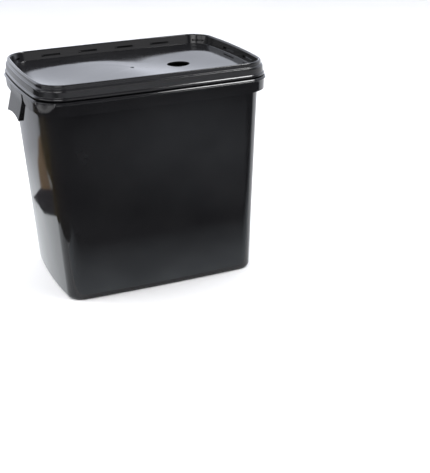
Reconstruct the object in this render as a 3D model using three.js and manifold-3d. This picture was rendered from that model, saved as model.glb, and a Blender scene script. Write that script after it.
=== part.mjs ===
// Gravity-flow bucket filter for a garden pond: a tapered rectangular pail with a press-on lid.
// The pump's hose feeds the hole in the lid. The water falls through a spray tray, three foam mats
// and a layer of bio balls, and runs back to the pond from the elbow at the bottom of the back wall.
// Millimetres, +Z up, +X along the pail's long side. The origin is the middle of the underside.
import * as THREE from "three";
import { mergeVertices } from "three/addons/utils/BufferGeometryUtils.js";
import Module from "manifold-3d";

const wasm = await Module();
wasm.setup();

// ---- Driving dimensions ---------------------------------------------------------------------
const HEIGHT = 369; // top of the lid's rim above the ground
const WALL_TOP_Z = 331; // where the tapered wall ends under the collar
const BASE = { halfX: 170.3, halfY: 120, radius: 26 }; // the wall's outline at the ground
const RIM = { halfX: 191.7, halfY: 142.3, radius: 40.8 }; // the outline of the lid's top edge
const SHOULDER = 5.3; // how far the wall's top stays inside the rim's outline
const SIDE_BOW = { x: 8.3, y: 3.3 }; // how far each side's middle bows out beyond its ends
const WALL = 2.2; // thickness of the pail's wall and floor
const FOOT = { inset: 4, mid: 1.2, inner: 3.5, innerTop: 6 }; // the rounded edge of the underside
const GAP = 0.3; // clearance between pieces that rest on each other
const PAST = 5; // how far a cutting solid reaches past what it cuts

const COLLAR = { top: 343.2, bottom: 338.4, out: 7.5, round: 1.8, web: 1.6 };
const SKIRT = { bottom: 321, out: 5.6, thickness: 2.2, draft: 0.8 }; // the apron under the collar
const NECK = { out: -1.6, thickness: 1.2, top: 364.2, round: 0.4 }; // the edge in the lid's groove
const LEDGE = { z: 339, out: -3.6, slope: 14 }; // the step inside the neck that the tray hangs on
const COLLAR_RIB = {
  thickness: 1.6, height: 13, reach: 8, inset: 1.2, long: [-120, -60, 60, 120], short: [-75, 75],
};

const GRIP = { half: 40, shift: 5, top: 337, tip: 294.5, arch: 4, flare: 8.8, x: 197.6, wall: 2.4 };
const GRIP_END = { depth: 9, back: 6, sink: 0.4 }; // the walls that close the grip's two ends
const PRY_TAB = {
  halfWidth: 21, height: 14.6, root: 3, out: 8.2, angle: 38, depth: 30, curveSegments: 10,
};

const LID = { panelZ: 352.4, panel: 2, edgeBottom: 345.2, channelTop: 366.9, wallFoot: -7 };
const CHANNEL = { inner: -3.2, outer: -1.2, foot: 362, round: 0.7 }; // the lid's groove over the neck
// The lid's skirt as [out from the rim's outline, height], down its inside and up its outside.
const SKIRT_INSIDE = [[-1.2, 361.6], [1.4, 358.4], [2.2, 349], [3.7, 347.4]];
const SKIRT_OUTSIDE = [[5.1, 348.6], [3.6, 350], [3, 358.8], [2.3, 360.6], [0.3, 362.4]];
const LID_TOP = [[0, -2], [-0.7, -0.6], [-2.2, 0], [-3.7, -0.6], [-4.4, -2]]; // [out, below the top]
const FEED_HOLE = { x: 85.2, y: 6.8, radius: 19.4, sides: 48 };
const SLOT = { length: 31, height: 3.4, z: 358.4, pitch: 67.2, first: -102.6, count: 4, cut: 5.2, out: -5.4 };
const END_SLOT = { length: 42, offsets: [21, -61] };
const CORNER_SLOT = { length: 24, angle: 45 };
const SEAL = { bottom: 364.5, top: 366.3, inner: -2.7, outer: -1.7 };

const TRAY = {
  flange: 1.8, out: -4.1, inset: 9, draft: 2, floorZ: 312, wall: 2, holeR: 4, holeSides: 6,
};
const TRAY_HOLES = { columns: 9, rows: 6, pitchX: 36, pitchY: 36 };

const FOAM_THICKNESS = 32;
const FOAM_BOTTOM_Z = 181.6;
const FOAM_CLEARANCE = 3; // between a mat's edge and the pail's wall
const BALL = { diameter: 72, hub: 0.3, sides: 9, columns: 4, rows: 3, pitchX: 77, pitchY: 74.5 };
const BALL_DISC_EDGES = [-0.94, -0.5, -0.2, 0.2, 0.5, 0.94]; // as fractions of the ball's radius
const GRID = { thickness: 3, clearance: 3, bar: 7, columns: 8, rows: 5, pitchX: 37, pitchY: 41 };
const SUPPORT_Z = 100; // underside of the grid that carries the bio balls
const LEG = { size: 12, sink: 2, xs: [-138, 0, 138], y: 92 };

const OUTLET = { z: 62, pipe: 22, bore: 18.2, boss: 38, bossInner: 118.4, bossOuter: 126 };
const FLANGE = { radius: 32, thickness: 5 };
const GASKET = { thickness: 2.4, outer: 31 };
const LOCK_NUT = { radius: 34, thickness: 12, sides: 6 };
const UNION = { start: 145.5, end: 160, outer: 28.5, lip: 2.6, chamfer: 1.5 };
const ELBOW = {
  spigot: 17.7, spigotStart: 134, collar: 22, neck: 19.5, bore: 15.5, bend: 26, sides: 21, bendSteps: 6,
};
const O_RING = { middle: 141.5, groove: 1.7, depth: 2 };
const TAIL = { end: 80, barbs: 3, barbPitch: 11, barbHeight: 1.6, start: 42, taper: 0.8 };
const STRAINER = { radius: 25, length: 38, slots: 10, slotWidth: 5, wall: 2, edge: 3, plug: 12 };

const CORNER_STEPS = 5;
const SIDE_STEPS = 4;
const ROUND_STEPS = 28;

// ---- Materials --------------------------------------------------------------------------------
function plastic(color, roughness) {
  return new THREE.MeshStandardMaterial({ color, roughness, metalness: 0 });
}

const MATERIALS = {
  glossBlack: plastic(0x111213, 0.22),
  satinBlack: plastic(0x1a1b1c, 0.5),
  rubber: plastic(0x141414, 0.85),
  foamCoarse: plastic(0x1f3f66, 0.95),
  foamMedium: plastic(0x2f4a36, 0.95),
  foamFine: plastic(0x26282b, 0.95),
  ballBlack: plastic(0x202224, 0.45),
};

// ---- Solids -----------------------------------------------------------------------------------
function toSolid(geometry) {
  const bare = geometry.clone();
  bare.deleteAttribute("normal");
  bare.deleteAttribute("uv");
  const merged = mergeVertices(bare, 1e-4);
  const vertProperties = merged.attributes.position.array;
  const triVerts = new Uint32Array(merged.index.array);
  return new wasm.Manifold(new wasm.Mesh({ numProp: 3, vertProperties, triVerts }));
}

function toGeometry(solid) {
  const mesh = solid.getMesh();
  const geometry = new THREE.BufferGeometry();
  geometry.setAttribute("position", new THREE.BufferAttribute(mesh.vertProperties, 3));
  geometry.setIndex(new THREE.BufferAttribute(mesh.triVerts, 1));
  geometry.computeVertexNormals();
  return geometry;
}

function combine(base, joins, cuts) {
  let solid = toSolid(base);
  for (const piece of joins) solid = solid.add(toSolid(piece));
  for (const piece of cuts) solid = solid.subtract(toSolid(piece));
  return toGeometry(solid);
}

// A closed skin through a row of rings with the same number of points. A ring of one point is a
// cap's middle. A looped skin joins its last ring to its first, as a tube wall does.
function loft(rings, looped = false) {
  const positions = [];
  const faces = [];
  const starts = rings.map((ring) => {
    const start = positions.length / 3;
    for (const p of ring) positions.push(p.x, p.y, p.z);
    return start;
  });
  const count = Math.max(...rings.map((ring) => ring.length));
  const vertex = (row, i) => starts[row] + (rings[row].length === 1 ? 0 : i % count);
  const rows = looped ? rings.length : rings.length - 1;
  for (let row = 0; row < rows; row += 1) {
    const next = (row + 1) % rings.length;
    for (let i = 0; i < count; i += 1) {
      const [a, b, c, d] = [vertex(row, i), vertex(row, i + 1), vertex(next, i + 1), vertex(next, i)];
      if (a !== b) faces.push(a, b, c);
      if (c !== d) faces.push(a, c, d);
    }
  }
  const geometry = new THREE.BufferGeometry();
  geometry.setAttribute("position", new THREE.Float32BufferAttribute(positions, 3));
  geometry.setIndex(faces);
  return geometry;
}

// Bows the sides of a rectangle outwards, by drawing its corners in and leaving its middles.
function bowed(x, y, halfX, halfY, z) {
  const u = x / halfX;
  const v = y / halfY;
  const bowX = Math.sign(x) * SIDE_BOW.x * v ** 2 * u ** 4;
  const bowY = Math.sign(y) * SIDE_BOW.y * u ** 2 * v ** 4;
  return new THREE.Vector3(x - bowX, y - bowY, z);
}

// A rounded rectangle with bowed sides, anticlockwise seen from above.
function outline(halfX, halfY, radius, z) {
  const quarter = Math.PI / 2;
  const corners = [[1, 1], [-1, 1], [-1, -1], [1, -1]];
  const cornerPoint = (k, angle) => {
    const [signX, signY] = corners[k % 4];
    const x = signX * (halfX - radius) + radius * Math.cos(angle);
    const y = signY * (halfY - radius) + radius * Math.sin(angle);
    return new THREE.Vector2(x, y);
  };
  const points = [];
  for (let k = 0; k < 4; k += 1) {
    for (let step = 0; step <= CORNER_STEPS; step += 1) {
      const p = cornerPoint(k, (k + step / CORNER_STEPS) * quarter);
      points.push(bowed(p.x, p.y, halfX, halfY, z));
    }
    const from = cornerPoint(k, (k + 1) * quarter);
    const to = cornerPoint(k + 1, (k + 1) * quarter);
    for (let step = 1; step <= SIDE_STEPS; step += 1) {
      const p = from.clone().lerp(to, step / (SIDE_STEPS + 1));
      points.push(bowed(p.x, p.y, halfX, halfY, z));
    }
  }
  return points;
}

// The wall's outer surface at height z, grown by `out`, drawn at height `at`.
function wallRing(z, out, at = z) {
  const t = z / WALL_TOP_Z;
  const mix = (key, inset) => THREE.MathUtils.lerp(BASE[key], RIM[key] - inset, t) + out;
  return outline(mix("halfX", SHOULDER), mix("halfY", SHOULDER), mix("radius", SHOULDER), at);
}

// The outline of the lid's top edge, grown by `out`, at height z.
function rimRing(out, z) {
  return outline(RIM.halfX + out, RIM.halfY + out, RIM.radius + out, z);
}

// The place on that outline that lies `angle` radians round the corner at +X and +Y.
function rimCorner(out, angle, z) {
  const reach = RIM.radius + out;
  const x = RIM.halfX - RIM.radius + reach * Math.cos(angle);
  const y = RIM.halfY - RIM.radius + reach * Math.sin(angle);
  return bowed(x, y, RIM.halfX + out, RIM.halfY + out, z);
}

function centre(z) {
  return [new THREE.Vector3(0, 0, z)];
}

// A slab between two heights that follows the inside of the pail, `clearance` away from it.
function innerSlab(bottom, top, clearance) {
  const out = -WALL - clearance;
  return loft([centre(bottom), wallRing(bottom, out), wallRing(top, out), centre(top)]);
}

function box(sizeX, sizeY, sizeZ, x, y, z) {
  return new THREE.BoxGeometry(sizeX, sizeY, sizeZ).translate(x, y, z);
}

// A round piece on the outlet's axis, from [radius, y] points. Its axis runs along +Y.
function turned(profile, looped, steps = ROUND_STEPS) {
  const points = profile.map(([radius, y]) => new THREE.Vector2(radius, y));
  if (looped) points.push(points[0].clone());
  return new THREE.LatheGeometry(points, steps).translate(0, 0, OUTLET.z);
}

function disc(radius, from, to, steps = ROUND_STEPS) {
  return turned([[0, from], [radius, from], [radius, to], [0, to]], false, steps);
}

function ringPiece(inner, outer, from, to) {
  return turned([[inner, from], [outer, from], [outer, to], [inner, to]], true);
}

function piece(name, geometry, material) {
  const mesh = new THREE.Mesh(geometry, material);
  mesh.name = name;
  return mesh;
}

// ---- Pail -------------------------------------------------------------------------------------
function pailShell() {
  const c = COLLAR;
  const under = c.bottom - c.web;
  const edge = NECK.out - NECK.thickness;
  return loft([
    centre(0),
    wallRing(0, -FOOT.inset),
    wallRing(0, -FOOT.mid, FOOT.mid),
    wallRing(FOOT.inset, 0),
    wallRing(WALL_TOP_Z, 0),
    wallRing(WALL_TOP_Z, 0, under),
    rimRing(SKIRT.out - SKIRT.thickness, under),
    rimRing(SKIRT.out - SKIRT.draft - SKIRT.thickness, SKIRT.bottom),
    rimRing(SKIRT.out - SKIRT.draft, SKIRT.bottom),
    rimRing(SKIRT.out, c.bottom),
    rimRing(c.out, c.bottom),
    rimRing(c.out, c.top - c.round),
    rimRing(c.out - c.round, c.top),
    rimRing(NECK.out, c.top),
    rimRing(NECK.out, NECK.top - NECK.round),
    rimRing(NECK.out - NECK.round, NECK.top),
    rimRing(edge + NECK.round, NECK.top),
    rimRing(edge, NECK.top - NECK.round),
    rimRing(LEDGE.out, LEDGE.z + LEDGE.slope),
    rimRing(LEDGE.out, LEDGE.z),
    wallRing(WALL_TOP_Z, -WALL, LEDGE.z),
    wallRing(WALL_TOP_Z, -WALL, WALL_TOP_Z),
    wallRing(FOOT.innerTop, -WALL),
    wallRing(WALL, -WALL - FOOT.inner),
    centre(WALL),
  ]);
}

// A hand grip on a short side: a flared plate with an arched lower edge and two end walls.
function grip(side) {
  const { half, shift, top, tip, arch, flare, x, wall } = GRIP;
  const { depth, back, sink } = GRIP_END;
  const plate = new THREE.Shape();
  plate.moveTo(-half, top);
  plate.lineTo(-half, tip);
  plate.quadraticCurveTo(0, tip + 2 * arch, half, tip);
  plate.lineTo(half, top);
  const plateGeometry = new THREE.ExtrudeGeometry(plate, { depth: wall, bevelEnabled: false });
  // The shape's plane becomes the Y-Z plane, and its thickness runs inwards along X.
  const basis = new THREE.Matrix4().makeBasis(
    new THREE.Vector3(0, 1, 0),
    new THREE.Vector3(0, 0, 1),
    new THREE.Vector3(1, 0, 0),
  );
  plateGeometry.applyMatrix4(basis).translate(-x, 0, 0);
  const slope = flare / (top - tip);
  plateGeometry.applyMatrix4(new THREE.Matrix4().makeShear(0, 0, 0, 0, slope, 0));
  plateGeometry.translate(-slope * top, 0, 0);
  const endShape = new THREE.Shape();
  endShape.moveTo(-x + sink, top - sink);
  endShape.lineTo(-x - flare + sink, tip + sink);
  endShape.lineTo(-x - flare + depth, tip + sink);
  endShape.lineTo(-x + back, SKIRT.bottom + sink);
  endShape.lineTo(-x + back, top - sink);
  const ends = [-half, half - wall].map((y) => {
    const wallGeometry = new THREE.ExtrudeGeometry(endShape, { depth: wall, bevelEnabled: false });
    return wallGeometry.rotateX(Math.PI / 2).translate(0, y + wall, 0);
  });
  const pieces = [plateGeometry, ...ends];
  for (const geometry of pieces) geometry.translate(0, shift, 0).rotateZ(side > 0 ? Math.PI : 0);
  return pieces;
}

// The half-moon tab on a corner of the collar, where the lid is prised up. It follows the corner.
function pryTab(turn) {
  const { halfWidth, height, root, out, angle, depth, curveSegments } = PRY_TAB;
  const halfMoon = new THREE.Shape();
  halfMoon.moveTo(halfWidth, 0);
  halfMoon.absellipse(0, 0, halfWidth, height, 0, Math.PI, false, 0);
  const block = new THREE.ExtrudeGeometry(halfMoon, { depth, bevelEnabled: false, curveSegments });
  const radians = THREE.MathUtils.degToRad(angle);
  const middle = rimCorner(out - depth / 2, radians, COLLAR.top);
  // The half-moon hangs from the collar's top and looks out along the corner's direction.
  block.rotateX(-Math.PI / 2).rotateZ(radians - Math.PI / 2).translate(middle.x, middle.y, middle.z);
  const low = COLLAR.top - height - PAST;
  const band = loft([
    rimRing(root, low), rimRing(out, low), rimRing(out, COLLAR.top), rimRing(root, COLLAR.top),
  ], true);
  return toGeometry(toSolid(band).intersect(toSolid(block))).rotateZ(turn);
}

// Short upright ribs between the wall and the collar's skirt.
function collarRibs() {
  const { thickness, height, reach, inset, long, short } = COLLAR_RIB;
  const z = COLLAR.bottom - height / 2;
  const ribs = [];
  for (const side of [-1, 1]) {
    for (const x of long) {
      const bow = SIDE_BOW.y * (x / RIM.halfX) ** 2;
      ribs.push(box(thickness, reach, height, x, side * (RIM.halfY - bow - inset), z));
    }
    for (const y of short) {
      const bow = SIDE_BOW.x * (y / RIM.halfY) ** 2;
      ribs.push(box(reach, thickness, height, side * (RIM.halfX - bow - inset), y, z));
    }
  }
  return ribs;
}

function bucket() {
  const joins = [...grip(-1), ...grip(1), pryTab(Math.PI), pryTab(0), ...collarRibs()];
  joins.push(disc(OUTLET.boss, OUTLET.bossInner, OUTLET.bossOuter));
  const hole = disc(OUTLET.pipe + GAP, OUTLET.bossInner - PAST, OUTLET.bossOuter + PAST);
  return piece("bucket", combine(pailShell(), joins, [hole]), MATERIALS.glossBlack);
}

// ---- Lid --------------------------------------------------------------------------------------
function lidShell() {
  const { panelZ, panel, edgeBottom, channelTop, wallFoot } = LID;
  const { inner, outer, foot, round } = CHANNEL;
  return loft([
    centre(panelZ - panel),
    rimRing(wallFoot - 0.6, panelZ - panel),
    rimRing(wallFoot + 1.2, panelZ - 0.4),
    rimRing(inner, foot),
    rimRing(inner, channelTop - round),
    rimRing(inner + round, channelTop),
    rimRing(outer - round, channelTop),
    rimRing(outer, channelTop - round),
    ...SKIRT_INSIDE.map(([out, z]) => rimRing(out, z)),
    rimRing(3.7, edgeBottom),
    rimRing(5.2, edgeBottom),
    rimRing(5.7, edgeBottom + 1.4),
    ...SKIRT_OUTSIDE.map(([out, z]) => rimRing(out, z)),
    ...LID_TOP.map(([out, below]) => rimRing(out, HEIGHT + below)),
    rimRing(wallFoot, panelZ + 1.2),
    rimRing(wallFoot - 1.4, panelZ),
    centre(panelZ),
  ]);
}

// The slots through the inner wall of the rim, for one half of the lid: the back side, one end
// and the corner between them. The other half is the same, turned half round.
function rimSlots(turn) {
  const inner = SLOT.out;
  const slots = [];
  for (let i = 0; i < SLOT.count; i += 1) {
    const x = SLOT.first + i * SLOT.pitch;
    const y = RIM.halfY + inner - SIDE_BOW.y * (x / RIM.halfX) ** 2;
    slots.push(box(SLOT.length, SLOT.cut, SLOT.height, x, y, SLOT.z));
  }
  for (const y of END_SLOT.offsets) {
    const x = RIM.halfX + inner - SIDE_BOW.x * (y / RIM.halfY) ** 2;
    slots.push(box(SLOT.cut, END_SLOT.length, SLOT.height, x, y, SLOT.z));
  }
  const cornerAngle = THREE.MathUtils.degToRad(CORNER_SLOT.angle);
  for (const mirror of [1, -1]) {
    const p = rimCorner(inner, cornerAngle, SLOT.z);
    const slot = box(SLOT.cut, CORNER_SLOT.length, SLOT.height, 0, 0, 0).rotateZ(mirror * cornerAngle);
    slots.push(slot.translate(p.x, mirror * p.y, p.z));
  }
  return slots.map((slot) => slot.rotateZ(turn));
}

function lid() {
  const { x, y, radius, sides } = FEED_HOLE;
  const height = LID.panel + 2 * PAST;
  const hole = new THREE.CylinderGeometry(radius, radius, height, sides).rotateX(Math.PI / 2);
  hole.translate(x, y, LID.panelZ);
  const cuts = [hole, ...rimSlots(0), ...rimSlots(Math.PI)];
  return piece("lid", combine(lidShell(), [], cuts), MATERIALS.glossBlack);
}

function lidSeal() {
  const { bottom, top, inner, outer } = SEAL;
  const rings = [rimRing(inner, bottom), rimRing(outer, bottom), rimRing(outer, top), rimRing(inner, top)];
  return piece("lid_seal", loft(rings, true), MATERIALS.rubber);
}

// ---- What the water passes through ------------------------------------------------------------
// A grid of holes over a plate, leaving out those near the plate's rounded corners.
function holePattern(columns, rows, pitchX, pitchY, makeHole) {
  const holes = [];
  for (let i = 0; i < columns; i += 1) {
    for (let j = 0; j < rows; j += 1) {
      const atEnd = i === 0 || i === columns - 1;
      const atSide = j === 0 || j === rows - 1;
      if (atEnd && atSide) continue;
      holes.push(makeHole((i - (columns - 1) / 2) * pitchX, (j - (rows - 1) / 2) * pitchY));
    }
  }
  return holes;
}

// The spray tray hangs in the neck by its flange and has a floor full of drip holes.
function sprayTray() {
  const { flange, out, inset, draft, floorZ, wall, holeR, holeSides } = TRAY;
  const under = LEDGE.z + GAP;
  const inside = out - inset;
  const shell = loft([
    centre(floorZ),
    rimRing(inside - draft, floorZ),
    rimRing(inside, under),
    rimRing(out, under),
    rimRing(out, under + flange),
    rimRing(inside - wall, under + flange),
    rimRing(inside - wall - draft, floorZ + wall),
    centre(floorZ + wall),
  ]);
  const { columns, rows, pitchX, pitchY } = TRAY_HOLES;
  const dripHole = (x, y) => {
    const height = wall + 2 * PAST;
    const hole = new THREE.CylinderGeometry(holeR, holeR, height, holeSides).rotateX(Math.PI / 2);
    return hole.translate(x, y, floorZ + wall / 2);
  };
  const holes = holePattern(columns, rows, pitchX, pitchY, dripHole);
  return piece("spray_tray", combine(shell, [], holes), MATERIALS.satinBlack);
}

function foamMats() {
  const kinds = [
    ["foam_fine", MATERIALS.foamFine],
    ["foam_medium", MATERIALS.foamMedium],
    ["foam_coarse", MATERIALS.foamCoarse],
  ];
  return kinds.map(([name, material], layer) => {
    const bottom = FOAM_BOTTOM_Z + layer * (FOAM_THICKNESS + GAP);
    return piece(name, innerSlab(bottom, bottom + FOAM_THICKNESS, FOAM_CLEARANCE), material);
  });
}

function gridPlate(bottom) {
  const { thickness, clearance, bar, columns, rows, pitchX, pitchY } = GRID;
  const opening = (x, y) => box(pitchX - bar, pitchY - bar, 2 * thickness, x, y, bottom + thickness / 2);
  const openings = holePattern(columns, rows, pitchX, pitchY, opening);
  return { plate: innerSlab(bottom, bottom + thickness, clearance), openings };
}

function dividerGrid() {
  const bottom = FOAM_BOTTOM_Z - GAP - GRID.thickness;
  const { plate, openings } = gridPlate(bottom);
  return piece("divider_grid", combine(plate, [], openings), MATERIALS.satinBlack);
}

function supportGrid() {
  const { plate, openings } = gridPlate(SUPPORT_Z);
  const foot = WALL + GAP;
  const height = SUPPORT_Z - foot;
  const legs = [];
  for (const x of LEG.xs) {
    for (const y of x === 0 ? [-LEG.y] : [-LEG.y, LEG.y]) {
      legs.push(box(LEG.size, LEG.size, height + LEG.sink, x, y, foot + (height + LEG.sink) / 2));
    }
  }
  return piece("support_grid", combine(plate, legs, openings), MATERIALS.satinBlack);
}

// One bio ball: three thick discs on a hub, with two deep grooves between them.
function bioBallGeometry() {
  const radius = BALL.diameter / 2;
  const profile = [new THREE.Vector2(0, -radius)];
  BALL_DISC_EDGES.forEach((edge, i) => {
    const onSphere = new THREE.Vector2(radius * Math.sqrt(1 - edge ** 2), radius * edge);
    const atHub = new THREE.Vector2(radius * BALL.hub, radius * edge);
    if (i === 0 || i === BALL_DISC_EDGES.length - 1) profile.push(onSphere);
    else if (i % 2 === 1) profile.push(onSphere, atHub);
    else profile.push(atHub, onSphere);
  });
  profile.push(new THREE.Vector2(0, radius));
  return new THREE.LatheGeometry(profile, BALL.sides).rotateX(Math.PI / 2);
}

function bioBalls() {
  const geometry = bioBallGeometry();
  const z = SUPPORT_Z + GRID.thickness + GAP + BALL.diameter / 2;
  const balls = [];
  for (let j = 0; j < BALL.rows; j += 1) {
    for (let i = 0; i < BALL.columns; i += 1) {
      const number = String(balls.length + 1).padStart(2, "0");
      const ball = piece("bio_ball_" + number, geometry, MATERIALS.ballBlack);
      const x = (i - (BALL.columns - 1) / 2) * BALL.pitchX;
      ball.position.set(x, (j - (BALL.rows - 1) / 2) * BALL.pitchY, z);
      balls.push(ball);
    }
  }
  return balls;
}

// ---- Outlet -----------------------------------------------------------------------------------
const FLANGE_FACE = OUTLET.bossInner - 2 * GAP - GASKET.thickness; // the flange's side to the wall
const COLLAR_END = UNION.end - UNION.lip - GAP; // the elbow's collar sits under the union nut's lip
const PIPE_END = COLLAR_END - GAP - 4; // the outer end of the threaded pipe
const BEND_START = UNION.end + 3; // where the elbow begins to bend

function outletBulkhead() {
  const { pipe, bore } = OUTLET;
  const inner = FLANGE_FACE - FLANGE.thickness;
  const profile = [
    [bore, inner], [FLANGE.radius, inner], [FLANGE.radius, FLANGE_FACE], [pipe, FLANGE_FACE],
    [pipe, PIPE_END], [bore, PIPE_END],
  ];
  return piece("outlet_bulkhead", turned(profile, true), MATERIALS.satinBlack);
}

function outletGaskets() {
  const { thickness, outer } = GASKET;
  const inner = OUTLET.pipe + GAP;
  const insideStart = FLANGE_FACE + GAP;
  const outsideStart = OUTLET.bossOuter + GAP;
  const gasket = (start) => ringPiece(inner, outer, start, start + thickness);
  return [
    piece("outlet_gasket_inner", gasket(insideStart), MATERIALS.rubber),
    piece("outlet_gasket_outer", gasket(outsideStart), MATERIALS.rubber),
  ];
}

// The lock nut: a hexagon, screwed on from outside.
function outletLockNut() {
  const start = OUTLET.bossOuter + 2 * GAP + GASKET.thickness;
  const inner = OUTLET.pipe + GAP;
  const end = start + LOCK_NUT.thickness;
  const hexagon = disc(LOCK_NUT.radius, start, end, LOCK_NUT.sides);
  const hole = disc(inner, start - PAST, end + PAST);
  return piece("outlet_lock_nut", combine(hexagon, [], [hole]), MATERIALS.satinBlack);
}

// The union nut holds the elbow's collar against the end of the pipe and lets it turn.
function outletUnionNut() {
  const { start, end, outer, lip, chamfer } = UNION;
  const thread = OUTLET.pipe + GAP;
  const neckHole = ELBOW.neck + 2 * GAP;
  const profile = [
    [thread, start], [outer, start], [outer, end - chamfer], [outer - chamfer, end], [neckHole, end],
    [neckHole, end - lip], [thread, end - lip],
  ];
  return piece("outlet_union_nut", turned(profile, true), MATERIALS.satinBlack);
}

// A ring of points round the elbow's centre line, `along` millimetres down the line.
function elbowRing(along, radius) {
  const arc = (ELBOW.bend * Math.PI) / 2;
  const turn = THREE.MathUtils.clamp((along - BEND_START) / ELBOW.bend, 0, Math.PI / 2);
  const beyond = Math.max(0, along - BEND_START - arc);
  const before = Math.min(along, BEND_START);
  const x = ELBOW.bend * (1 - Math.cos(turn)) + beyond;
  const y = before + ELBOW.bend * Math.sin(turn);
  const steps = ELBOW.sides;
  const ring = [];
  for (let i = 0; i < steps; i += 1) {
    const angle = (-2 * Math.PI * i) / steps;
    const side = radius * Math.cos(angle);
    const z = OUTLET.z + radius * Math.sin(angle);
    ring.push(new THREE.Vector3(x + side * Math.cos(turn), y - side * Math.sin(turn), z));
  }
  return ring;
}

// A quarter-turn elbow: a spigot with an O-ring groove, a collar, the bend and a barbed hose tail.
function outletElbow() {
  const { spigot, spigotStart, collar, neck, bore, bend, bendSteps } = ELBOW;
  const arc = (bend * Math.PI) / 2;
  const tailStart = BEND_START + arc + TAIL.start - bend;
  const end = BEND_START + arc + TAIL.end - bend;
  const groove = { from: O_RING.middle - O_RING.groove, to: O_RING.middle + O_RING.groove };
  const outside = [
    [spigotStart, spigot], [groove.from, spigot], [groove.from, spigot - O_RING.depth],
    [groove.to, spigot - O_RING.depth], [groove.to, spigot],
    [PIPE_END + GAP, spigot], [PIPE_END + GAP, collar], [COLLAR_END, collar], [COLLAR_END, neck],
    [BEND_START, neck],
  ];
  for (let i = 1; i <= bendSteps; i += 1) outside.push([BEND_START + (arc * i) / bendSteps, neck]);
  const root = neck - TAIL.taper;
  for (let i = 0; i < TAIL.barbs; i += 1) {
    const at = tailStart + i * TAIL.barbPitch;
    outside.push([at, root], [at + GAP, neck + TAIL.barbHeight], [at + TAIL.barbPitch - 1, root]);
  }
  outside.push([end, root]);
  const inside = [[end, bore]];
  for (let i = bendSteps; i >= 0; i -= 1) inside.push([BEND_START + (arc * i) / bendSteps, bore]);
  inside.push([spigotStart, bore]);
  const rings = [...outside, ...inside].map(([along, radius]) => elbowRing(along, radius));
  return piece("outlet_elbow", loft(rings, true), MATERIALS.satinBlack);
}

function elbowORing() {
  const { middle, groove, depth } = O_RING;
  const inner = ELBOW.spigot - depth + GAP;
  const outer = OUTLET.bore - GAP;
  const shoulder = (inner + outer) / 2;
  const wide = groove - GAP;
  const narrow = wide / 2;
  const profile = [
    [inner, middle - narrow], [shoulder, middle - wide], [outer, middle - narrow],
    [outer, middle + narrow], [shoulder, middle + wide], [inner, middle + narrow],
  ];
  return piece("elbow_o_ring", turned(profile, true), MATERIALS.rubber);
}

// The strainer plugs into the bulkhead from inside and keeps the media out of the outlet.
function outletStrainer() {
  const { radius, length, slots, slotWidth, wall, edge, plug: plugLength } = STRAINER;
  const open = FLANGE_FACE - FLANGE.thickness - GAP;
  const tip = open - length;
  const plug = OUTLET.bore - 2 * GAP;
  const profile = [
    [0, tip], [radius - edge, tip], [radius, tip + edge], [radius, open], [plug, open],
    [plug, open + plugLength], [plug - wall, open + plugLength], [plug - wall, open - wall],
    [radius - wall, open - wall], [radius - wall, tip + wall + edge], [radius - wall - edge, tip + wall],
    [0, tip + wall],
  ];
  const cuts = [];
  for (let i = 0; i < slots; i += 1) {
    const slot = box(slotWidth, length - 4 * edge, 4 * wall, 0, 0, radius - wall / 2);
    slot.rotateY(((i + 0.5) * 2 * Math.PI) / slots).translate(0, tip + length / 2, OUTLET.z);
    cuts.push(slot);
  }
  return piece("outlet_strainer", combine(turned(profile, false), [], cuts), MATERIALS.satinBlack);
}

// ---- Assembly ---------------------------------------------------------------------------------
const filter = new THREE.Group();
filter.name = "bucket_filter";
filter.add(bucket(), lid(), lidSeal());
filter.add(sprayTray(), ...foamMats(), dividerGrid(), ...bioBalls(), supportGrid());
filter.add(outletStrainer(), outletBulkhead(), ...outletGaskets(), outletLockNut(), outletUnionNut());
filter.add(outletElbow(), elbowORing());

export default filter;
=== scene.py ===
"""Looks of the bucket pond filter: a glossy black pail with a press-on lid, its grips, its inner parts
and the hose elbow at the back. Metres, +Z up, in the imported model's frame."""

import math
import random

import bmesh
import bpy
from mathutils import Matrix, Vector, noise


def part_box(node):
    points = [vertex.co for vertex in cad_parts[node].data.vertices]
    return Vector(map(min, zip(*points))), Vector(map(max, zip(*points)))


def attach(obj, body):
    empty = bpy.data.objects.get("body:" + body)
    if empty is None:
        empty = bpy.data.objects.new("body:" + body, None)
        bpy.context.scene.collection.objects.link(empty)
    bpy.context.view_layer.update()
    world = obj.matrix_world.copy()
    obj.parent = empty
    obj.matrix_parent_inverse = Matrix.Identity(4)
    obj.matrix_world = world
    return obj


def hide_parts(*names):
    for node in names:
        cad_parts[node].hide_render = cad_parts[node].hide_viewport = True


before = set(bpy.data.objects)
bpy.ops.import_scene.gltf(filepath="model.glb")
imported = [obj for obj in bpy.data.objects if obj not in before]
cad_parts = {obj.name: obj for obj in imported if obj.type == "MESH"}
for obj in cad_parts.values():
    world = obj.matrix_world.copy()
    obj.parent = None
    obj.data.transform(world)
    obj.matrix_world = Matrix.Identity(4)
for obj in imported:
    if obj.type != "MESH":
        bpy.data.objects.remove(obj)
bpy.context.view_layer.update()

MM = 0.001
_, LID_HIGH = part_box("lid")
_, PAIL_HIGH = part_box("bucket")

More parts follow.
